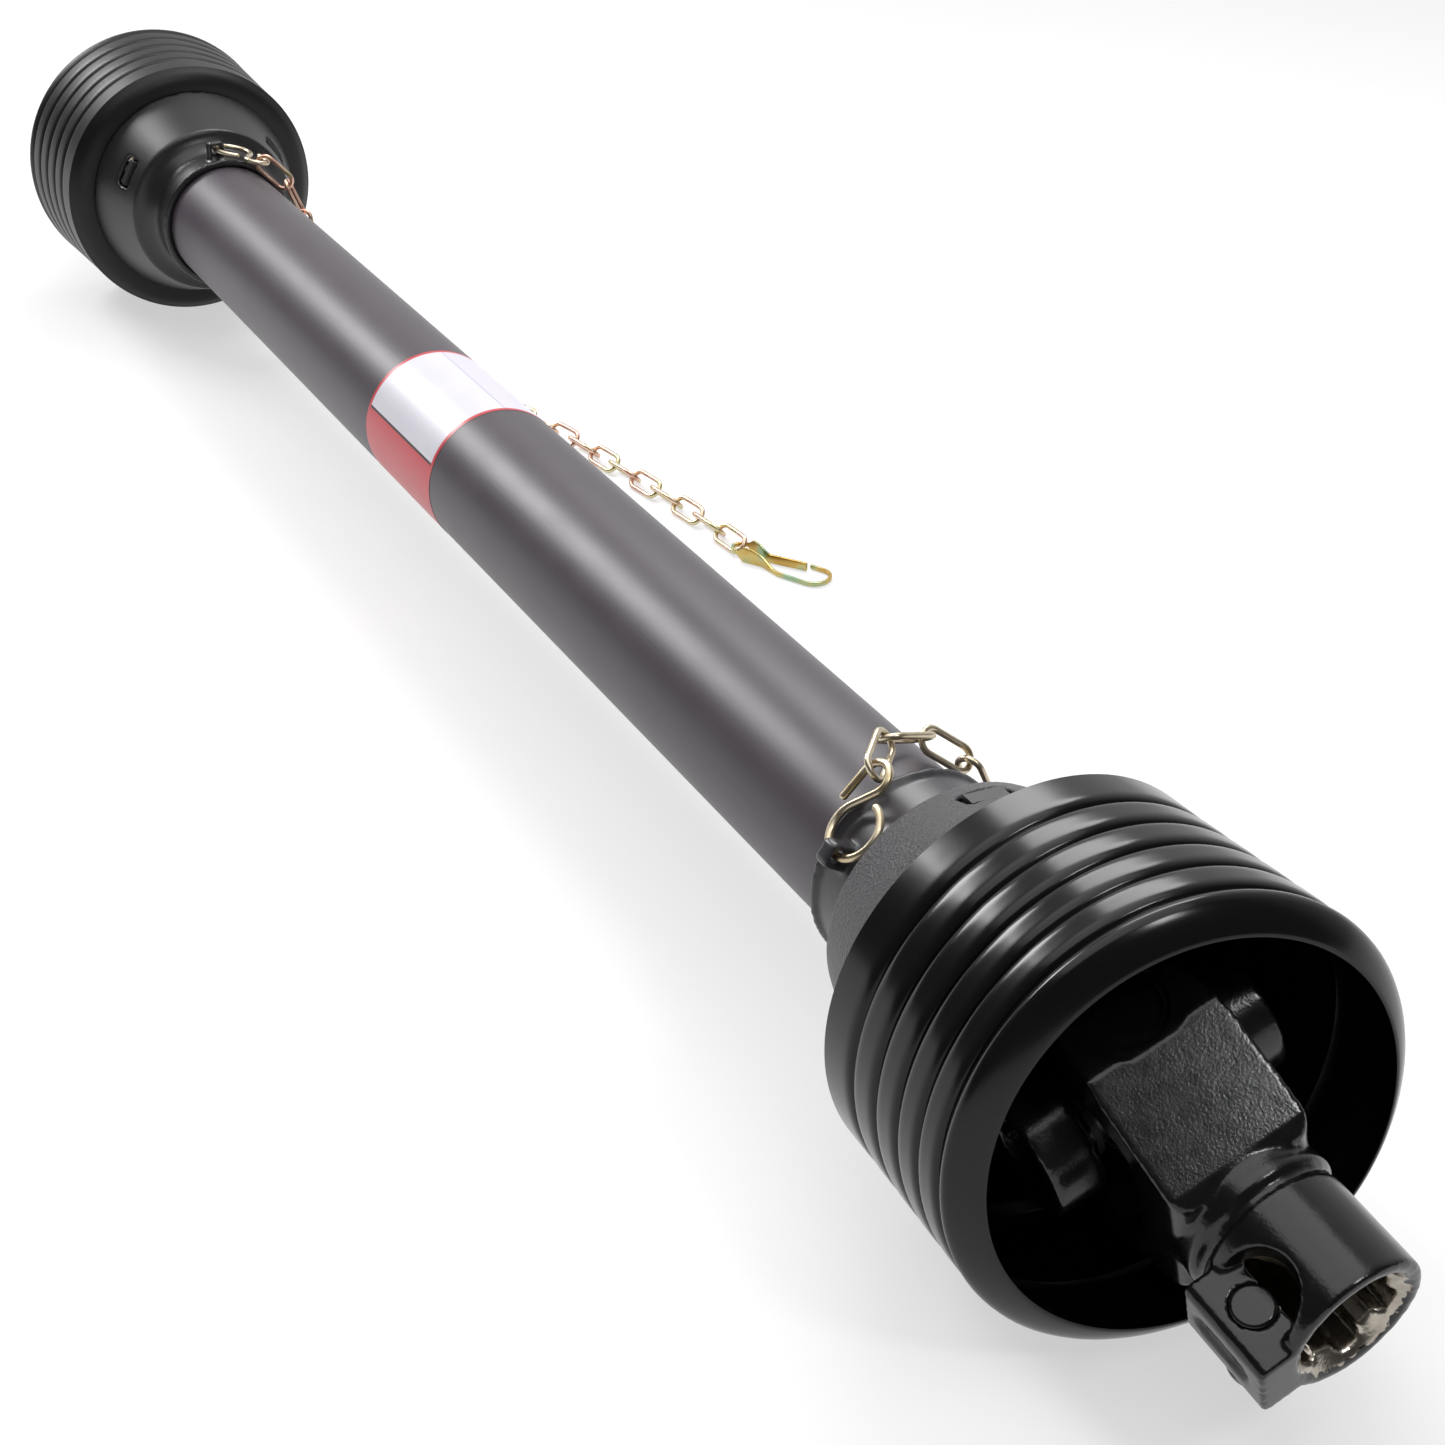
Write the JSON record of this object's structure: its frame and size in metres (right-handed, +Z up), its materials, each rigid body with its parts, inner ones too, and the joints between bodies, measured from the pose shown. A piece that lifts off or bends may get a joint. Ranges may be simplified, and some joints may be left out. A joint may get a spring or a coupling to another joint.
{
  "type": "power take-off drive shaft",
  "caption": "Guarded farm power take-off shaft, telescoping with a universal joint and splined quick-release yoke at each end, and plastic cones with rubber bells and restraint chains.",
  "frame": {"origin": "on the floor, at the middle of the object's length and width as it lies on its bells", "axes": "+X along the shaft from the far joint to the near joint, whose end yoke droops; +Y to the side where the chains lie; +Z up"},
  "size_m": [1.1816, 0.2347, 0.1519],
  "materials": {
    "black_plastic": "moulded polyethylene, satin, with a hammered grain on the near dome",
    "bell_rubber": "glossy black flexible bell",
    "grey_plastic": "extruded polyethylene, matt dark grey",
    "nylon": "natural nylon",
    "drawn_steel": "drawn and greased",
    "painted_forging": "gloss black paint over a forged skin",
    "spring_steel": "oiled spring steel",
    "zinc_steel": "bright zinc plate",
    "cross_steel": "forged and ground",
    "cap_steel": "ground",
    "seal_rubber": "moulded seal",
    "gold_zinc": "yellow zinc plate"
  },
  "bodies": {
    "far_guard": {"far_guard_cone": "black_plastic", "far_bellows": "bell_rubber", "far_bearing_ring": "nylon", "outer_guard_tube": "grey_plastic", "far_s_hook": "gold_zinc", "far_chain": "gold_zinc", "far_spring_clip": "gold_zinc"},
    "far_shaft": {"far_tube_yoke": "painted_forging", "inner_profile_tube": "drawn_steel", "far_roll_pin": "spring_steel", "far_tube_yoke_cap_left": "cap_steel", "far_tube_yoke_cap_right": "cap_steel", "far_tube_yoke_circlip_left": "spring_steel", "far_tube_yoke_circlip_right": "spring_steel"},
    "far_cross_body": {"far_cross": "cross_steel", "far_cross_seals": "seal_rubber", "far_grease_nipple": "zinc_steel"},
    "far_end": {"far_end_yoke": "painted_forging", "far_end_yoke_cap_top": "cap_steel", "far_end_yoke_cap_bottom": "cap_steel", "far_end_yoke_circlip_top": "spring_steel", "far_end_yoke_circlip_bottom": "spring_steel", "far_pin_spring": "spring_steel"},
    "far_pin": {"far_push_pin": "zinc_steel"},
    "near_shaft": {"near_tube_yoke": "painted_forging", "outer_profile_tube": "drawn_steel", "near_roll_pin": "spring_steel", "near_tube_yoke_cap_left": "cap_steel", "near_tube_yoke_cap_right": "cap_steel", "near_tube_yoke_circlip_left": "spring_steel", "near_tube_yoke_circlip_right": "spring_steel"},
    "near_guard": {"near_guard_cone": "black_plastic", "near_bellows": "bell_rubber", "near_bearing_ring": "nylon", "inner_guard_tube": "grey_plastic", "near_s_hook": "gold_zinc", "near_chain": "gold_zinc", "near_spring_clip": "gold_zinc"},
    "near_cross_body": {"near_cross": "cross_steel", "near_cross_seals": "seal_rubber", "near_grease_nipple": "zinc_steel"},
    "near_end": {"near_end_yoke": "painted_forging", "near_end_yoke_cap_top": "cap_steel", "near_end_yoke_cap_bottom": "cap_steel", "near_end_yoke_circlip_top": "spring_steel", "near_end_yoke_circlip_bottom": "spring_steel", "near_pin_spring": "spring_steel"},
    "near_pin": {"near_push_pin": "zinc_steel"}
  },
  "joints": [
    {"name": "shaft_spin", "type": "hinge", "parent": "far_guard", "child": "far_shaft", "pos_m": [-0.49378, -0.04178, 0.07555], "axis": [1, 0, 0], "continuous": true},
    {"name": "telescope", "type": "slide", "parent": "far_shaft", "child": "near_shaft", "axis": [1, 0, 0], "range_m": [0, 0.45]},
    {"name": "near_guard_spin", "type": "hinge", "parent": "near_shaft", "child": "near_guard", "pos_m": [0.49122, -0.04178, 0.07555], "axis": [1, 0, 0], "continuous": true},
    {"name": "near_cross_hinge", "type": "hinge", "parent": "near_shaft", "child": "near_cross_body", "pos_m": [0.49122, -0.04178, 0.07555], "axis": [0, 0.9397, 0.342], "range_deg": [-36, 12]},
    {"name": "near_yoke_hinge", "type": "hinge", "parent": "near_cross_body", "child": "near_end", "pos_m": [0.49122, -0.04178, 0.07555], "axis": [0.2079, -0.3345, 0.9192], "range_deg": [-24, 24]},
    {"name": "near_pin_push", "type": "slide", "parent": "near_end", "child": "near_pin", "axis": [0.2079, -0.3345, 0.9192], "range_m": [0, 0.006], "stiffness_N_per_m": 900, "springref_m": -0.01, "deforming": ["near_pin_spring"]},
    {"name": "far_cross_hinge", "type": "hinge", "parent": "far_shaft", "child": "far_cross_body", "pos_m": [-0.49378, -0.04178, 0.07555], "axis": [0, 0.9397, 0.342], "range_deg": [-24, 24]},
    {"name": "far_yoke_hinge", "type": "hinge", "parent": "far_cross_body", "child": "far_end", "pos_m": [-0.49378, -0.04178, 0.07555], "axis": [0, -0.342, 0.9397], "range_deg": [-24, 24]},
    {"name": "far_pin_push", "type": "slide", "parent": "far_end", "child": "far_pin", "axis": [0, -0.342, 0.9397], "range_m": [0, 0.006], "stiffness_N_per_m": 900, "springref_m": -0.01, "deforming": ["far_pin_spring"]}
  ]
}
